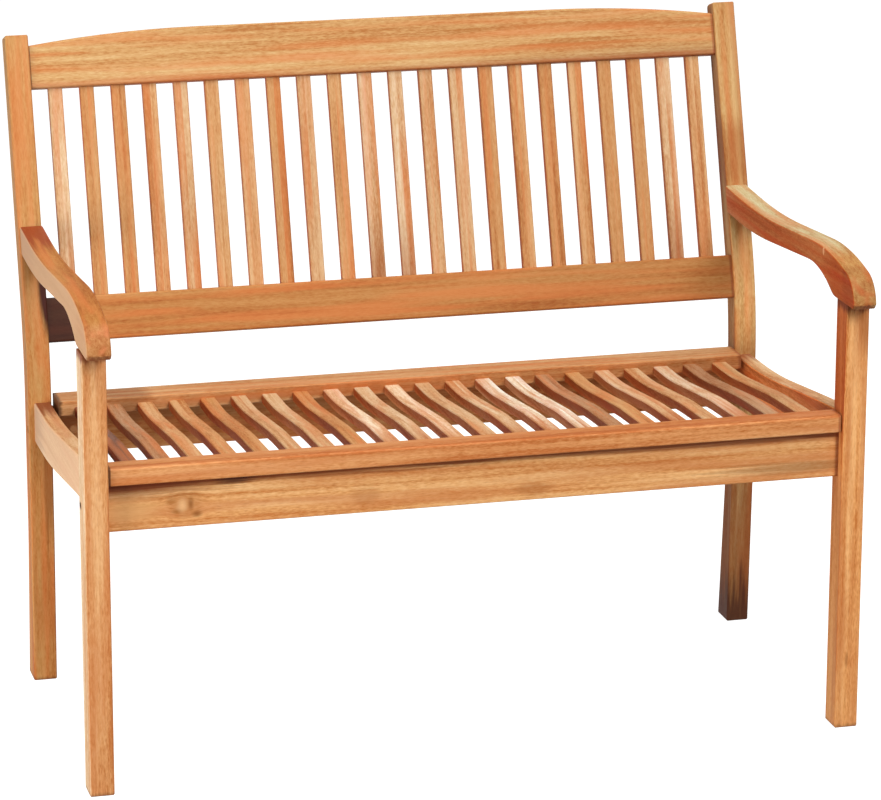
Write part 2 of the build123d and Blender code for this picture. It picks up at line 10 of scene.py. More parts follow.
import bpy
import numpy as np
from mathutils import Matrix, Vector


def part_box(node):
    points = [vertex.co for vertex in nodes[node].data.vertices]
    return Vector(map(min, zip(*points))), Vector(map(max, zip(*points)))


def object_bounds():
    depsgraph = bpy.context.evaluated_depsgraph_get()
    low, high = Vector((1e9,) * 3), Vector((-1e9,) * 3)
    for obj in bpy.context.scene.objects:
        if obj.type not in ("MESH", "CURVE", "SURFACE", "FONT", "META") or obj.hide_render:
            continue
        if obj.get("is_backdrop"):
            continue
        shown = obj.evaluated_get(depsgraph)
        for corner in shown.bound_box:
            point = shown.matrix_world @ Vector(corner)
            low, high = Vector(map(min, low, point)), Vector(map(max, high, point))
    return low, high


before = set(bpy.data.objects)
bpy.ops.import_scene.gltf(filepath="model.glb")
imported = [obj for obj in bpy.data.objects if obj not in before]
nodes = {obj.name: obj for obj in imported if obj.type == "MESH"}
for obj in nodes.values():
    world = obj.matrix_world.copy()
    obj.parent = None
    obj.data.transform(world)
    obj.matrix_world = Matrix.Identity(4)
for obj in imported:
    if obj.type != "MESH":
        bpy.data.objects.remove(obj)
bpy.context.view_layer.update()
print("boards and fittings:", len(nodes))

# %% [markdown]
# ## Helpers for every material
# Colours are written as a painter would pick them from a swatch, in sRGB hex. Blender's shaders
# count light, so each is turned to linear first: divided by 12.92 near black, and above that
# raised to the power 2.4 after a small shift. A material could be drawn by hand in the shader
# editor, but in a script each of its nodes is one call: the helper sets the node's properties,
# then fills its sockets with numbers, colours or other nodes.

# %% Colour and node helpers
MM = 0.001


def linear(swatch):
    """sRGB hex such as '#d08f52' to a linear RGBA tuple."""
    parts = np.array([int(swatch[i:i + 2], 16) for i in (1, 3, 5)]) / 255
    light = np.where(parts <= 0.04045, parts / 12.92, ((parts + 0.055) / 1.055) ** 2.4)
    return (*light.tolist(), 1.0)


def empty_material(name):
    """A new material and its node tree, with nothing in it yet."""
    material = bpy.data.materials.new(name)
    material.use_nodes = True
    material.node_tree.nodes.clear()
    return material, material.node_tree


def add_node(tree, kind, inputs=(), **settings):
    """Add a node; its inputs may be values, sockets, or nodes, which give their first output."""
    node = tree.nodes.new(kind)
    for name, value in settings.items():
        setattr(node, name, value)
    for name, value in dict(inputs).items():
        if isinstance(value, bpy.types.Node):
            value = next(output for output in value.outputs if output.enabled)
        if isinstance(value, bpy.types.NodeSocket):
            tree.links.new(value, node.inputs[name])
        else:
            node.inputs[name].default_value = value
    return node


print("a honey swatch in linear light:", [round(part, 3) for part in linear("#d08f52")[:3]])

# %% [markdown]
# ## The figure of the wood
# The bench is plantation eucalyptus, planed, sanded and oiled. To the eye that is a warm tan to
# orange brown with a soft figure: wide quiet bands and thinner streaks along the board, short
# flecks where the fibres interlock, and the fibres themselves. It could be a picture of wood
# wrapped round each board, or patterns worked out in space. Patterns cut every face of a board
# the way a saw does, so they are used here: each is noise stretched along the board, and its
# width and length are real sizes. Only the fibres, 0.2 mm wide in the wood, are drawn eight
# times as wide, so that they show. The sum of the noises picks a colour from three round the
# board's own, and one more noise drifts from the tan of the sapwood to the orange of the heart.

# %% The figure of the wood
FIGURE = {                     # width mm, length mm, detail, share of the figure
    "bands": (20.0, 520.0, 2.0, 0.42),
    "streaks": (4.6, 170.0, 3.0, 0.24),
    "fleck": (6.5, 15.0, 2.0, 0.10),
    "fibres": (1.6, 8.0, 2.0, 0.24),
}
FIGURE_ROUGHNESS = 0.55        # how much of each noise is its finer detail
DARK, PLAIN, LIGHT = 0.40, 0.50, 0.60
TINTS = (                      # place in the figure, and what it does to red, green and blue
    (DARK, (0.74, 0.51, 0.33)),
    (PLAIN, (1.00, 1.00, 1.00)),
    (LIGHT, (1.16, 1.40, 1.74)),
)
DRIFT = (13.0, 240.0, 1.0)     # width mm, length mm, detail
DRIFT_FROM, DRIFT_FULL = 0.45, 0.68      # noise at which the orange begins and is at its most
HEARTWOOD, HEART_SHARE = "#c46f38", 0.55           # the orange, and the most that shows


def grain_noise(tree, place, width, length, detail, roughness=0.5):
    """Noise whose cells are width mm across the board and length mm along it, its Z."""
    stretched = add_node(tree, "ShaderNodeVectorMath", {
        0: place, 1: (1 / width / MM, 1 / width / MM, 1 / length / MM)}, operation="MULTIPLY")
    return add_node(tree, "ShaderNodeTexNoise", {
        "Vector": stretched, "Scale": 1.0, "Detail": detail, "Roughness": roughness})


def figured_colour(tree, board, body):
    """The figure, its noises by name, and its colour: tints of the body, then the drift."""
    figure, patterns = 0.0, {}
    for name, (width, length, detail, share) in FIGURE.items():
        patterns[name] = grain_noise(tree, board, width, length, detail, FIGURE_ROUGHNESS)
        figure = add_node(tree, "ShaderNodeMath", {
            0: patterns[name], 1: share, 2: figure}, operation="MULTIPLY_ADD")
    colours = add_node(tree, "ShaderNodeValToRGB", {"Fac": figure})
    colours.color_ramp.elements.new(PLAIN)
    for element, (place, tint) in zip(colours.color_ramp.elements, TINTS):
        element.position = place
        element.color = np.minimum(np.multiply(linear(body), (*tint, 1.0)), 1.0)
    drift = grain_noise(tree, board, *DRIFT)
    warmth = add_node(tree, "ShaderNodeMapRange", {
        "Value": drift, "From Min": DRIFT_FROM, "From Max": DRIFT_FULL,
        "To Min": 0.0, "To Max": HEART_SHARE})
    warmed = add_node(tree, "ShaderNodeMix", {
        0: warmth, 6: colours, 7: linear(HEARTWOOD)}, data_type="RGBA").outputs[2]
    return figure, patterns, warmed


print("shares of the figure:", {name: noise[-1] for name, noise in FIGURE.items()})

# %% [markdown]
# ## The way of the grain
# A board is sawn along the trunk, so its figure runs along its length. The noises above run
# along Z, and a Mapping node turns each board's length upright for them and moves the board to
# wood of its own. A UV map could do that too, but a CAD mesh is left as it is, so the place on
# the board is changed inside the material. Three kinds of board need more. The rear legs are
# sawn from boards that follow their bend, so the lean is taken out of the depth. Round a knot
# the fibres part, so heights near it are drawn in towards its middle. The slats of a row share
# ten materials, so a count along the bench picks each slat's own wood. Its steps fall on the
# slats' middle lines, so a slat shows two strips of figure that meet there.

# %% The way of the grain
QUARTER = math.pi / 2
RAKE = math.radians(17.6)      # lean of the back
BEND = 0.489                   # metres above the floor, where the rear legs start to lean
GRAIN = {                      # turn that brings the length of the board upright
    "up": (0, 0, 0),
    "leaning": (0, 0, 0),
    "across": (0, QUARTER, 0),
    "back": (QUARTER, 0, 0),
    "raked": (RAKE, 0, 0),
}
APART = (0.37, 0.61, 1.7)      # metres between one board's wood and the next one's
SLATS_APART = (3.0, 3.0, 9.0)  # metres of wood that the slats of a row are picked from
KNOT_PINCH = -0.9              # share of the height over a knot that is taken away
MIDDLE_COUNT = 20.5            # count at the middle of the bench, so that it stays above 0


def reaches_away(tree, place, middle, reach):
    """Offset from a middle, and its length with each axis counted in its reach, both in mm."""
    offset = add_node(tree, "ShaderNodeVectorMath", {
        0: place, 1: [part * MM for part in middle]}, operation="SUBTRACT")
    scaled = add_node(tree, "ShaderNodeVectorMath", {
        0: offset, 1: [1 / part / MM for part in reach]}, operation="MULTIPLY")
    away = add_node(tree, "ShaderNodeVectorMath", {0: scaled}, operation="LENGTH")
    return offset, away.outputs["Value"]


def along_the_bend(tree, place):
    """Place with the lean taken out: depth less the height above the bend times tan(RAKE)."""
    split = add_node(tree, "ShaderNodeSeparateXYZ", {0: place})
    above = add_node(tree, "ShaderNodeMath", {0: split.outputs[2], 1: BEND},
                     operation="SUBTRACT")
    above = add_node(tree, "ShaderNodeMath", {0: above, 1: 0.0}, operation="MAXIMUM")
    depth = add_node(tree, "ShaderNodeMath", {
        0: above, 1: -math.tan(RAKE), 2: split.outputs[1]}, operation="MULTIPLY_ADD")
    return add_node(tree, "ShaderNodeCombineXYZ", {
        0: split.outputs[0], 1: depth, 2: split.outputs[2]})


def round_the_knot(tree, place, middle, reach):
    """Place plus the height over the knot times a pinch that fades to 0 at the reach."""
    offset, away = reaches_away(tree, place, middle, reach)
    pinch = add_node(tree, "ShaderNodeMapRange", {
        "Value": away, "From Min": 0.0, "From Max": 1.0,
        "To Min": KNOT_PINCH, "To Max": 0.0}, interpolation_type="SMOOTHSTEP")
    height = add_node(tree, "ShaderNodeVectorMath", {0: offset, 1: (0, 0, 1)},
                      operation="MULTIPLY")
    return add_node(tree, "ShaderNodeVectorMath", {
        0: height, 1: pinch, 2: place}, operation="MULTIPLY_ADD")


def slat_by_slat(tree, place, board, pitch):
    """Board moved to random wood by the count floor(x / pitch + MIDDLE_COUNT)."""
    side = add_node(tree, "ShaderNodeSeparateXYZ", {0: place}).outputs[0]
    count = add_node(tree, "ShaderNodeMath", {0: side, 1: 1 / pitch, 2: MIDDLE_COUNT},
                     operation="MULTIPLY_ADD")
    number = add_node(tree, "ShaderNodeMath", {0: count}, operation="FLOOR")
    chance = add_node(tree, "ShaderNodeTexWhiteNoise", {"W": number},
                      noise_dimensions="1D").outputs["Color"]
    return add_node(tree, "ShaderNodeVectorMath", {
        0: chance, 1: SLATS_APART, 2: board}, operation="MULTIPLY_ADD")


print("the back leans", round(math.degrees(RAKE), 1), "degrees")

# %% [markdown]
# ## How a mark is laid on the wood
# Wood is never even: it has stains and knots, its feet are darker, and a side may be redder than
# the face. Some marks are painted light: painted shade in the joints at the rails' ends, under
# the seat's front rail and under the armrests, painted light on two uprights, and a painted
# sheen on the pale outer sides. Marks could be painted on an image, but here each is a soft ball
# in space: a middle, a reach along X, Y and Z, and a colour. A ball with a reach of ALL along an
# axis is a band or a whole side. A swatch is mixed in and hides the figure, and a tint is
# multiplied, so that the figure shows through. Over the last share of its reach the mark fades,
# and the streaks of the wood make that edge ragged.

# %% Marks on the wood
ALL = 9e6                      # mm, a reach along which a mark doesn't fade
# Share of the reach over which a mark fades, raggedness of its edge, and how it is laid on
SOFT, CLEAN, BLUR = (0.7, 1.2, "MIX"), (0.6, 0.0, "MIX"), (1.0, 0.5, "MIX")
# Of the two edges below, the second lays only a painted shadow: the armrest's, on the left
# upright
FIRM, CAST_SHADE = (0.7, 0.6, "MIX"), (0.5, 0.3, "MIX")
# The first edge below lays stains, and also the painted sheen and painted shade of whole sides
STAIN_AND_PAINTED_LIGHT, CLOUD, WEAR = (0.3, 0.0, "MULTIPLY"), (0.6, 0.5, "MULTIPLY"), (1.0, 0.5, "MULTIPLY")
VEIL, WASH, SHADOW = (1.0, 0.3, "MULTIPLY"), (0.5, 0.1, "MULTIPLY"), (0.45, 0.2, "MULTIPLY")


def lay_marks(tree, place, streaks, colour, marks):
    """Colour with the marks laid on, each at strength * smoothstep((1 - uneven) / fade).

    Uneven is the distance from the mark's middle in reaches, plus ragged * (streaks - 1/2).
    """
    for middle, reach, tone, strength, (fade, ragged, blend) in marks:
        away = reaches_away(tree, place, middle, reach)[1]
        uneven = add_node(tree, "ShaderNodeMath", {
            0: streaks, 1: ragged, 2: away}, operation="MULTIPLY_ADD")
        amount = add_node(tree, "ShaderNodeMapRange", {
            "Value": uneven, "From Min": 1 - fade + ragged / 2, "From Max": 1 + ragged / 2,
            "To Min": strength, "To Max": 0.0}, interpolation_type="SMOOTHSTEP")
        tone = linear(tone) if isinstance(tone, str) else (*tone, 1.0)
        colour = add_node(tree, "ShaderNodeMix", {0: amount, 6: colour, 7: tone},
                          data_type="RGBA", blend_type=blend).outputs[2]
    return colour


print("a clean mark on a 10 mm reach fades from", round(10 * (1 - CLEAN[0]), 1), "mm out")

# %% [markdown]
# ## Oiled eucalyptus
# Oil soaks in and leaves no film, so the board has a low satin sheen that is a little glossier
# on the light figure than on the dark. Fine brown pores lie open in it, and sanding leaves the
# fibres just proud. A bump carries both, because they are too shallow for real geometry. The
# sides of a slat, which its neighbours shade, get a painted shade, and a face that looks
# sideways is known by its normal. Pores are 0.2 mm wide in the wood and drawn 1 mm wide, so that
# they show.

# %% Oiled eucalyptus
PORES = (1.0, 12.0, 1.0)       # width mm, length mm, detail
PORE_FROM, PORE_FULL = 0.60, 0.74        # noise at which a pore begins and is at its darkest
PORE_BROWN, PORE_SHARE = "#a4501e", 0.30
PORE_GROOVE = -1.5             # height that a unit of pore takes from the fibres
SIDE_SHADE = "#fab07a"               # painted shade multiplied into a slat's sideways faces
SIDE_SHADE_FROM, SIDE_SHADE_FULL, SIDE_SHADE_SHARE = 0.75, 0.95, 0.9     # by how far the normal looks sideways
RELIEF, RELIEF_HEIGHT = 0.25, 0.4 * MM   # strength, and height of a whole unit of fibre
SATIN_DARK, SATIN_LIGHT = 0.66, 0.58     # roughness of the dark and of the light figure
OIL_IOR = 1.45                 # drying oils and wood have about 1.45 to 1.55
OIL_SHEEN = 0.25               # half the usual reflection, because open fibres scatter it


def painted_side_shade(tree, colour):
    """Colour with a painted shade multiplied in where the normal's X is near 1 or -1."""
    normal = add_node(tree, "ShaderNodeSeparateXYZ", {
        0: add_node(tree, "ShaderNodeTexCoord").outputs["Normal"]}).outputs[0]
    turned = add_node(tree, "ShaderNodeMath", {0: normal}, operation="ABSOLUTE")
    side_shade = add_node(tree, "ShaderNodeMapRange", {
        "Value": turned, "From Min": SIDE_SHADE_FROM, "From Max": SIDE_SHADE_FULL,
        "To Min": 0.0, "To Max": SIDE_SHADE_SHARE})
    return add_node(tree, "ShaderNodeMix", {0: side_shade, 6: colour, 7: linear(SIDE_SHADE)},
                    data_type="RGBA", blend_type="MULTIPLY").outputs[2]


def oiled_eucalyptus(name, grain, body, seed, marks=(), pitch=None, knot=None):
    """Oiled board: its grain's way, its body colour, and the marks and knot that it bears."""
    material, tree = empty_material(name)
    place = add_node(tree, "ShaderNodeTexCoord").outputs["Object"]
    straight = place
    if grain == "leaning":
        straight = along_the_bend(tree, place)
    if knot:
        straight = round_the_knot(tree, place, *knot)
    board = add_node(tree, "ShaderNodeMapping", {
        "Vector": straight, "Rotation": GRAIN[grain],
        "Location": [seed * step for step in APART]})
    if pitch:
        board = slat_by_slat(tree, place, board, pitch)
    figure, patterns, colour = figured_colour(tree, board, body)

    grit = grain_noise(tree, board, *PORES)
    pores = add_node(tree, "ShaderNodeMapRange", {
        "Value": grit, "From Min": PORE_FROM, "From Max": PORE_FULL,
        "To Min": 0.0, "To Max": PORE_SHARE})
    colour = add_node(tree, "ShaderNodeMix", {0: pores, 6: colour, 7: linear(PORE_BROWN)},
                      data_type="RGBA").outputs[2]
    colour = lay_marks(tree, place, patterns["streaks"], colour, marks)
    if pitch:
        # painted shade on the sides of the slats, which their neighbours shade
        colour = painted_side_shade(tree, colour)

    grooves = add_node(tree, "ShaderNodeMath", {
        0: pores, 1: PORE_GROOVE, 2: patterns["fibres"]}, operation="MULTIPLY_ADD")
    bump = add_node(tree, "ShaderNodeBump", {
        "Height": grooves, "Strength": RELIEF, "Distance": RELIEF_HEIGHT})
    gloss = add_node(tree, "ShaderNodeMapRange", {
        "Value": figure, "From Min": DARK, "From Max": LIGHT,
        "To Min": SATIN_DARK, "To Max": SATIN_LIGHT})
    shader = add_node(tree, "ShaderNodeBsdfPrincipled", {
        "Base Color": colour, "Roughness": gloss, "IOR": OIL_IOR,
        "Specular IOR Level": OIL_SHEEN, "Normal": bump})
    add_node(tree, "ShaderNodeOutputMaterial", {"Surface": shader})
    return material


print("roughness of the oiled wood:", SATIN_LIGHT, "to", SATIN_DARK)

# %% [markdown]
# ## What has marked each board
# Stains and knots follow no rule, so they aren't left to chance: they are a list, board by
# board, in millimetres in the bench's frame, and a later mark lies on an earlier one.
# The front apron has painted shade under the seat's front rail, deepest by the left leg, and a
# knot under it. The rails are dark where they meet the left legs and reddish where they meet the
# right ones: painted shade in the shadow of the joint.

# %% Marks on the apron and the rails
INSIDE = round(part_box("front_leg_right")[0].x / MM)      # inner face of the right legs
APRON = round(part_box("front_apron")[0].y / MM)           # front face of the front apron
# Painted shade in the joints: nearly black at the rails' left ends and red at their right ends.
# The dark swatch also paints shade under the seat's front rail, and the spot by the bolt
DEEP_SHADE_AND_SPOT, RED_JOINT_SHADE = "#3f1f0e", "#7c3414"
marks = {                      # middle mm, reach mm, swatch or tint, strength, edge
    "front_apron": [
        # painted shade under the seat's front rail, deepest by the left leg and in a spot; pale
        # wood below
        ((0, 0, 421), (ALL, ALL, 13), "#7a3a18", 0.9, SOFT),
        ((-INSIDE, APRON, 420), (230, ALL, 27), "#743212", 0.9, FIRM),
        ((-480, APRON, 385), (60, ALL, 24), "#e8b072", 0.6, SOFT),
        ((-332, APRON, 420), (42, ALL, 15), DEEP_SHADE_AND_SPOT, 0.85, SOFT),
        # the knot: brown wood, four dark flecks, and a pale middle
        ((-396, APRON, 385), (30, ALL, 22), "#a8662f", 0.4, SOFT),
        ((-416, APRON, 393), (10, ALL, 10), "#a0602a", 0.5, BLUR),
        ((-408, APRON, 378), (11, ALL, 5), "#965c28", 0.6, BLUR),
        ((-390, APRON, 387), (6, ALL, 13), "#8a5020", 0.8, BLUR),
        ((-382, APRON, 373), (10, ALL, 7), "#8a5020", 0.8, BLUR),
        ((-401, APRON, 386), (10, ALL, 14), "#efbd86", 0.8, BLUR),
        # faint spots further right, and painted shade in the joints at both ends
        ((-156, APRON, 380), (26, ALL, 18), "#a9642f", 0.35, SOFT),
        ((72, APRON, 372), (36, ALL, 16), "#a9642f", 0.5, SOFT),
        ((445, APRON, 374), (170, ALL, 12), "#8a4f22", 0.6, SOFT),
        ((-INSIDE, 0, 0), (3, ALL, ALL), DEEP_SHADE_AND_SPOT, 0.85, CLEAN),
        ((INSIDE, 0, 0), (6, ALL, ALL), RED_JOINT_SHADE, 0.6, CLEAN)],
    "seat_front_rail": [       # duller top face, and painted joint shade at both ends
        ((0, 0, 446), (ALL, ALL, 1.5), (0.73, 0.69, 0.65), 1.0, STAIN_AND_PAINTED_LIGHT),
        ((-498.5, 0, 0), (3, ALL, ALL), DEEP_SHADE_AND_SPOT, 0.85, CLEAN),
        ((498.5, 0, 0), (5, ALL, ALL), RED_JOINT_SHADE, 0.6, CLEAN)],
    "back_top_rail": [         # painted shade along the lower edge, deepest at the right, and in the joints
        ((-INSIDE, 0, 0), (2.5, ALL, ALL), DEEP_SHADE_AND_SPOT, 0.8, CLEAN),
        ((0, 276, 826), (ALL, ALL, 20), (0.75, 0.50, 0.45), 1.0, VEIL),
        ((516, 276, 826), (640, ALL, 32), (0.60, 0.50, 0.42), 1.0, VEIL),
        ((INSIDE, 0, 0), (5, ALL, ALL), RED_JOINT_SHADE, 0.6, CLEAN)],
    "back_bottom_rail": [      # the left armrest's painted shadow, nearly black, and painted joint shade
        ((-INSIDE, 0, 0), (78, ALL, ALL), (0.10, 0.06, 0.05), 1.0, SHADOW),
        ((INSIDE, 0, 0), (5, ALL, ALL), RED_JOINT_SHADE, 0.6, CLEAN)],
    "seat_rear_rail": [        # redder front face, cloud at the left, painted joint shade at both ends
        ((0, 123.4, 0), (ALL, 1.5, ALL), (1.00, 0.88, 0.80), 1.0, STAIN_AND_PAINTED_LIGHT),
        ((-400, 150, 0), (46, ALL, ALL), (0.62, 0.56, 0.52), 1.0, CLOUD),
        ((-497, 0, 0), (7, ALL, ALL), DEEP_SHADE_AND_SPOT, 0.8, SOFT),
        ((497, 0, 0), (7, ALL, ALL), RED_JOINT_SHADE, 0.6, SOFT)],
}
knots = {"front_apron": ((-397, APRON, 385), (42, ALL, 26))}
print("marks on the apron and the rails:", sum(len(found) for found in marks.values()))

# %% [markdown]
# ## The legs
# Each leg is darker at its foot, and its top carries a painted shadow under the armrest's nose.
# The left front leg's outer side has a painted sheen, and the right upright a painted light
# between the seat and the armrest, while the left upright carries the armrest's painted shadow
# there. Below the seat the right rear leg carries the seat's painted shadow, and the inner sides
# of the right legs a painted shade. Painting each board would be the other way, but soft balls
# in space need no image and are easy to move.

# %% Marks on the legs
FRONT = round(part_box("front_leg_right")[0].y / MM)       # front face of the front legs
UNDER_ARM = round(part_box("armrest_right")[0].z / MM)     # lowest point of the armrests
# each leg darker at its foot
DARKER_FOOT = ((0, 0, -2), (ALL, ALL, 9), "#5d341c", 0.5, SOFT)
marks |= {                     # middle mm, reach mm, swatch or tint, strength, edge
    "front_leg_left": [        # painted sheen outside, dark wood by the bolt, painted shade on top, dark foot
        ((-532.5, 0, 0), (1.5, ALL, ALL), (1.12, 1.7, 2.70), 1.0, STAIN_AND_PAINTED_LIGHT),
        ((-533, -256, 392), (3, 8, 7), DEEP_SHADE_AND_SPOT, 0.8, CLEAN),
        ((0, FRONT, UNDER_ARM), (ALL, ALL, 14), "#7c3a1a", 0.9, SOFT),
        DARKER_FOOT],
    "front_leg_right": [       # painted shade inside, two spots in front, painted shade on top, dark foot
        ((INSIDE, 0, 0), (1, ALL, ALL), (0.90, 0.80, 0.68), 1.0, STAIN_AND_PAINTED_LIGHT),
        ((INSIDE, -270, 520), (1, ALL, 130), (0.75, 0.5, 0.4), 1.0, CLOUD),
        ((514, FRONT, 98), (3, ALL, 18), "#94552a", 0.5, SOFT),
        ((530, FRONT, 572), (14, ALL, 62), "#a85a26", 0.65, SOFT),
        ((0, FRONT, UNDER_ARM), (ALL, ALL, 15), "#6c2c12", 0.9, SOFT),
        DARKER_FOOT],
    "rear_leg_left": [         # armrest's painted shadow, painted light on the lower half, dark foot
        ((-INSIDE, 200, 570), (14, ALL, 82), "#3a1206", 1.0, CAST_SHADE),
        ((-INSIDE, 165, 615), (30, ALL, 50), "#4a2010", 0.85, BLUR),
        ((-516, 161, 150), (ALL, ALL, 330), (1.3, 1.12, 1.0), 1.0, CLOUD),
        ((-506, 161, 300), (14, ALL, 130), "#7c441c", 0.55, SOFT),
        DARKER_FOOT],
    "rear_leg_right": [        # painted light over the seat, painted shade inside, painted armrest and seat shadows
        ((532, 0, 0), (12, ALL, ALL), (0.86, 0.74, 0.66), 1.0, CLOUD),
        ((516, 170, 520), (ALL, ALL, 125), (1.50, 1.72, 1.95), 1.0, CLOUD),
        ((532, 165, 602), (14, ALL, 38), "#5a2c12", 0.8, BLUR),
        ((532, 210, 695), (ALL, ALL, 62), (0.78, 0.62, 0.50), 1.0, CLOUD),
        ((INSIDE, 0, 0), (1, ALL, ALL), (0.80, 0.65, 0.55), 1.0, STAIN_AND_PAINTED_LIGHT),
        ((516, 180, 20), (ALL, ALL, 380), "#7a3c18", 0.6, SOFT),
        ((516, 180, -20), (ALL, ALL, 125), "#351206", 0.85, SOFT)],
}
print("boards with marks so far:", len(marks))

# %% [markdown]
# ## The armrests and the side rails
# Hands wear the armrests. The side rails and the left armrest are dark at their rear ends, the
# outer sides on the left have a painted sheen, and the inner sides on the right are red. A side
# could have a material of its own, but its mesh would have to be split. A ball that is a few
# millimetres thick, and endless the other ways, marks it.

# %% Marks on the armrests and the side rails
NOSE = round(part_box("armrest_right")[0].y / MM)          # tip of the armrests
SHADE = "#74391a"
marks |= {                     # middle mm, reach mm, swatch or tint, strength, edge
    "side_rail_left": [        # dark rear end, and a painted sheen on the outer side
        ((-513, 170, 412), (ALL, 105, ALL), "#7a3410", 0.9, SOFT),
        ((-525, 0, 0), (3, ALL, ALL), "#f0c9a2", 0.6, CLEAN)],
    "side_rail_right": [       # red inner side, browner in front, and a dark rear end
        ((501.5, 0, 0), (1, ALL, ALL), (1.46, 0.80, 0.46), 1.0, STAIN_AND_PAINTED_LIGHT),
        ((501.5, -266, 0), (1, 110, ALL), (0.62, 0.6, 0.5), 1.0, CLOUD),
        ((513, 178, 412), (ALL, 85, ALL), "#8a4520", 0.9, SOFT)],
    "armrest_left": [          # dark rear end, pale nose, painted sheen outside, painted shade under the lip
        ((-512, 200, 640), (ALL, 130, 110), "#843010", 0.85, SOFT),
        ((-514, NOSE, 625), (ALL, 34, ALL), (1.12, 1.20, 1.80), 1.0, CLOUD),
        ((-530.5, 0, 0), (1.5, ALL, ALL), "#d4a980", 0.75, CLEAN),
        ((-530, -300, 600), (3, 120, 60), (0.88, 0.82, 0.76), 1.0, CLOUD),
        ((-515, NOSE, UNDER_ARM), (ALL, 9, 9), SHADE, 0.8, SOFT)],
    "armrest_right": [         # browner front, red inner side with a pale chip, shaded lip
        ((515, NOSE, UNDER_ARM), (ALL, 140, ALL), (0.86, 0.56, 0.33), 1.0, WASH),
        ((515, -295, 630), (ALL, 30, ALL), (0.84, 0.78, 0.74), 1.0, CLOUD),
        ((498, 0, 0), (1, ALL, ALL), (1.00, 0.42, 0.23), 1.0, STAIN_AND_PAINTED_LIGHT),
        ((498, -198, 653), (1.5, 4, 8), "#e9b98a", 0.8, CLEAN),
        ((515, NOSE, UNDER_ARM), (ALL, 9, 9), SHADE, 0.8, SOFT)],
}
print("marks:", sum(len(found) for found in marks.values()), "on", len(marks), "boards")

# %% [markdown]
# ## Which board gets which wood
# No two boards of a bench match, because they are sawn from different trees. One material for
# all would be quicker, but then the bench looks cast in one piece. So each board of the frame
# has a material of its own, with its own body colour and its own seed, which moves it to other
# wood: the front legs and the apron are light, the left armrest and the lumbar rail brown.

# %% Woods of the frame
boards = {                     # way of the grain, body colour
    "front_leg_left": ("up", "#d89960"), "front_leg_right": ("up", "#e8a15f"),
    "rear_leg_left": ("leaning", "#b27f46"), "rear_leg_right": ("leaning", "#b98a52"),
    "armrest_left": ("back", "#a4672c"), "armrest_right": ("back", "#b8a071"),
    "side_rail_left": ("back", "#d29f6b"), "side_rail_right": ("back", "#d3a472"),
    "front_apron": ("across", "#e5a768"), "rear_apron": ("across", "#b17440"),
    "seat_front_rail": ("across", "#d69056"), "seat_rear_rail": ("across", "#bc8754"),
    "back_top_rail": ("across", "#bd8f58"), "back_bottom_rail": ("across", "#a76c35"),
}
finishes = {name: oiled_eucalyptus(f"oiled_eucalyptus_{name}", grain, body, seed,
                                   marks.get(name, ()), knot=knots.get(name))
            for seed, (name, (grain, body)) in enumerate(boards.items(), start=1)}
print("boards of the frame:", len(finishes))

# %% [markdown]
# ## The slats
# The 44 slats come off a pile of mixed wood. Forty-four materials would be as many patterns to
# bake, so each row has ten shades, and a slat takes one of them in the order that the row shows
# from left to right. The palest ones also show the wear at their ends: at the foot of the back,
# and along the front of the seat.

# %% Woods of the slats
SHADES = {"bleached": "#ddc8ab", "straw": "#dab892", "sandy": "#cca984", "pale": "#c7a076",
          "honey": "#c09467", "tan": "#c08e5d", "toffee": "#bb8754", "russet": "#b47c48",
          "brown": "#a47650", "dusky": "#6d4735"}
PALE = ("bleached", "straw", "sandy", "pale")
SLAT_SEED = 20
rows = {                       # way of the grain, and the shades from left to right
    "back": ("raked", "pale russet russet tan honey toffee tan russet honey toffee pale"
             " pale honey honey russet toffee russet toffee russet russet pale tan"),
    "seat": ("back", "dusky brown tan toffee russet honey honey russet straw pale straw"
             " honey pale bleached bleached brown russet pale honey sandy brown tan"),
}
worn = {
    "back": [((0, 0, 553), (ALL, ALL, 110), (0.70, 0.55, 0.46), 1.0, WEAR)],
    "seat": [((0, -251, 0), (ALL, 120, ALL), (0.76, 0.52, 0.36), 1.0, WEAR)],
}
for row, (grain, order) in rows.items():
    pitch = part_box(f"{row}_slat_02")[0].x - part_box(f"{row}_slat_01")[0].x
    pile = {shade: oiled_eucalyptus(f"oiled_eucalyptus_{row}_slats_{shade}", grain, body,
                                    SLAT_SEED, worn[row] if shade in PALE else (), pitch=pitch)
            for shade, body in SHADES.items()}
    for number, shade in enumerate(order.split(), start=1):
        finishes[f"{row}_slat_{number:02d}"] = pile[shade]
    print(row, "slats stand", round(pitch / MM, 2), "mm apart")

# %% [markdown]
# ## Plated steel and beech
# The bolts and barrel nuts are steel with a dull yellow zinc plating, which reads brown against
# the wood: rolled threads and handling leave it unevenly bright, so a fine noise moves both its
# colour and its gloss. The dowels are bare turned beech, pale with short brown rays. Only one
# bolt head shows and the dowels stay inside their joints, so the two share one simple recipe:
# two swatches mixed by noise of the right size. The metal keeps Blender's own IOR.

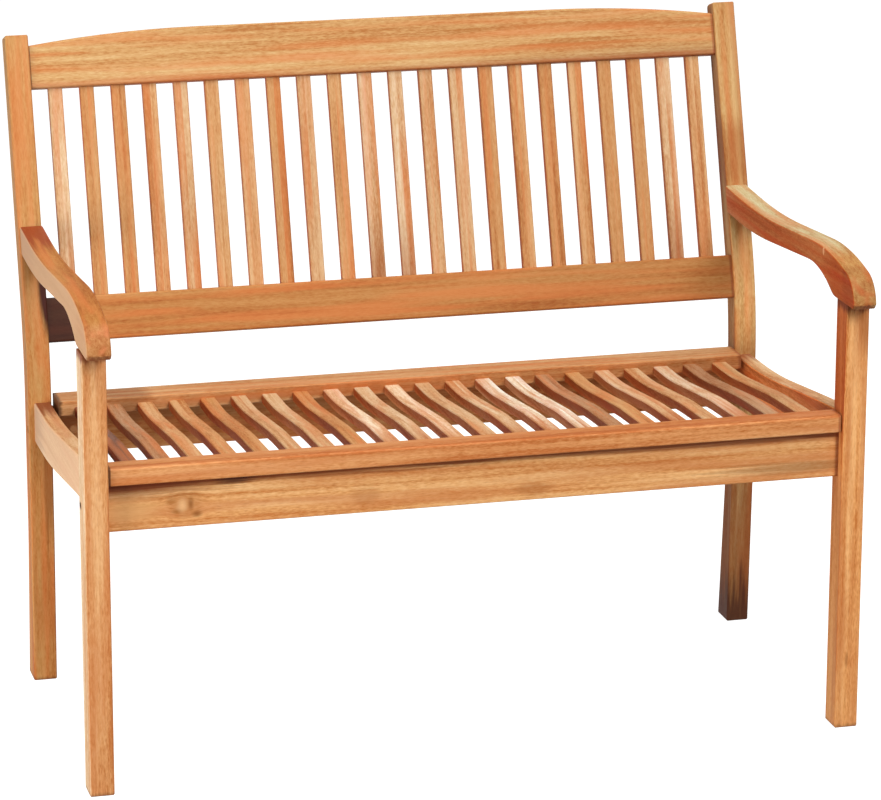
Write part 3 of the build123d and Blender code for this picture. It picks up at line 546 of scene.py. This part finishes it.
# %% Plated steel and beech
PATCH_DETAIL = 2.0
PATCH_LOW, PATCH_HIGH = 0.3, 0.7         # noise between which the gloss changes
fittings = {   # finish, dark and light swatch, width and length mm, roughness, metallic
    "frame_bolts": ("yellow_zinc_plated_steel", "#80522f", "#9c6c48",
                    (0.8, 0.8), (0.38, 0.52), 1.0),
    "seat_dowels": ("turned_beech", "#b58d5e", "#dfc196",
                    (0.8, 6.0), (0.55, 0.68), 0.0),
}
for name, (finish, dark, light, (width, length), (low, high), metallic) in fittings.items():
    material, tree = empty_material(finish)
    place = add_node(tree, "ShaderNodeTexCoord").outputs["Object"]
    patches = grain_noise(tree, place, width, length, PATCH_DETAIL)
    colour = add_node(tree, "ShaderNodeMix", {0: patches, 6: linear(dark), 7: linear(light)},
                      data_type="RGBA").outputs[2]
    gloss = add_node(tree, "ShaderNodeMapRange", {
        "Value": patches, "From Min": PATCH_LOW, "From Max": PATCH_HIGH,
        "To Min": low, "To Max": high})
    shader = add_node(tree, "ShaderNodeBsdfPrincipled", {
        "Base Color": colour, "Metallic": metallic, "Roughness": gloss})
    add_node(tree, "ShaderNodeOutputMaterial", {"Surface": shader})
    finishes[name] = material

for name, node in nodes.items():
    for slot in node.material_slots:
        slot.material = finishes[name]
print("materials:", len(bpy.data.materials))

# %% [markdown]
# ## A white studio
# The bench stands on a wide floor under a white sky. White paper would throw much light up
# under the seat, where the real bench is deep brown, so the floor is grey to the lamps and adds
# a glow that only direct looks, reflections and glass can see. The sky does the same: nearly
# dark as a light, and white to look at. Light Path tells the two kinds of ray apart.

# %% Floor and world
FLOOR_SIZE = 40.0
FLOOR_GREY = "#9c9c9c"
FLOOR_GLOW = 0.97              # strength of the white that is only looked at
AMBIENT = 0.03                 # strength of the sky as a light


def seen_directly(tree):
    """1 to the camera, in a reflection and through glass, and 0 to light that bounces."""
    path = add_node(tree, "ShaderNodeLightPath")
    direct = add_node(tree, "ShaderNodeMath", {
        0: path.outputs["Is Camera Ray"], 1: path.outputs["Is Glossy Ray"]},
        operation="MAXIMUM")
    return add_node(tree, "ShaderNodeMath", {
        0: direct, 1: path.outputs["Is Transmission Ray"]}, operation="MAXIMUM")


bpy.ops.mesh.primitive_plane_add(size=FLOOR_SIZE, location=(0, 0, 0))
floor = bpy.context.object
floor.name = "studio_floor"
floor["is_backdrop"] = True
material, tree = empty_material("white_studio_floor")
floor.data.materials.append(material)
strength = add_node(tree, "ShaderNodeMath", {0: seen_directly(tree), 1: FLOOR_GLOW},
                    operation="MULTIPLY")
glow = add_node(tree, "ShaderNodeEmission", {"Strength": strength})
paper = add_node(tree, "ShaderNodeBsdfDiffuse", {"Color": linear(FLOOR_GREY)})
both = add_node(tree, "ShaderNodeAddShader", {0: paper, 1: glow})
add_node(tree, "ShaderNodeOutputMaterial", {"Surface": both})

world = bpy.data.worlds.new("white_studio")
world.use_nodes = True
bpy.context.scene.world = world
tree = world.node_tree
tree.nodes.clear()
strength = add_node(tree, "ShaderNodeMapRange", {
    "Value": seen_directly(tree), "To Min": AMBIENT, "To Max": 1.0})
sky = add_node(tree, "ShaderNodeBackground", {"Strength": strength, "Color": (1, 1, 1, 1)})
add_node(tree, "ShaderNodeOutputWorld", {"Surface": sky})
print("floor:", FLOOR_SIZE, "m square, sky light:", AMBIENT)

# %% [markdown]
# ## The lamps
# A sun would cut hard shadows. The real light is broad and soft, so the lamps are square soft
# boxes: a large one high in front on the right, a wide one overhead, and a small weak one low
# on the left, which opens up the shaded side of the legs. Each is turned to the seat.

# %% Lamps
TARGET = Vector((0, 0, 0.45))
for name, place, size, watts in (
        ("soft_box_front_right", (1.8, -4.8, 4.3), 2.4, 262),
        ("soft_box_overhead", (-0.45, -0.9, 4.9), 3.6, 212),
        ("soft_box_low_left", (-2.3, -0.9, 0.4), 0.8, 31)):
    lamp = bpy.data.lights.new(name, "AREA")
    lamp.shape = "SQUARE"
    lamp.size = size
    lamp.energy = watts
    holder = bpy.data.objects.new(name, lamp)
    holder.location = place
    holder.rotation_euler = (TARGET - holder.location).to_track_quat("-Z", "Y").to_euler()
    bpy.context.scene.collection.objects.link(holder)
    print(name, "is", round((TARGET - holder.location).length, 2), "m from the seat")

# %% [markdown]
# ## The camera
# It stands over five metres off, in front on the left and above head height, and looks down on
# the seat through a long lens, so the bench's upright lines stay nearly parallel. The lens is
# shifted a little instead of turned, which moves the bench in the frame and leaves its lines as
# they are. The view transform is Standard, so a swatch renders about as it is written.

# %% Camera
LENS, SENSOR = 163.4, 36.0     # mm
LENS_SHIFT = (0.0403, -0.0795)           # in widths of the frame
STAND = (-1.3423, -5.1341, 1.9541)
TILT, TURN = 74.915, -14.293   # degrees up from straight down, and round from straight ahead
SIGHT = 100.0                  # metres, beyond the far edge of the floor
camera = bpy.data.cameras.new("camera")
camera.sensor_width = SENSOR
camera.lens = LENS
camera.shift_x, camera.shift_y = LENS_SHIFT
camera.clip_end = SIGHT
stand = bpy.data.objects.new("camera", camera)
bpy.context.scene.collection.objects.link(stand)
stand.location = STAND
stand.rotation_euler = (math.radians(TILT), 0, math.radians(TURN))
bpy.context.scene.camera = stand
bpy.context.scene.view_settings.view_transform = "Standard"
print("camera:", round(math.dist(STAND, TARGET), 2), "m from the seat")

# %% [markdown]
# ## The size of the dressed bench
# Dressing must not change the bench's size, so the width, depth and height of what is seen are
# printed, from its low corner to its high corner.

# %% Size of the dressed bench
low, high = (list(corner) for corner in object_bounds())
print("width, depth and height in metres:", [round(b - a, 3) for a, b in zip(low, high)])
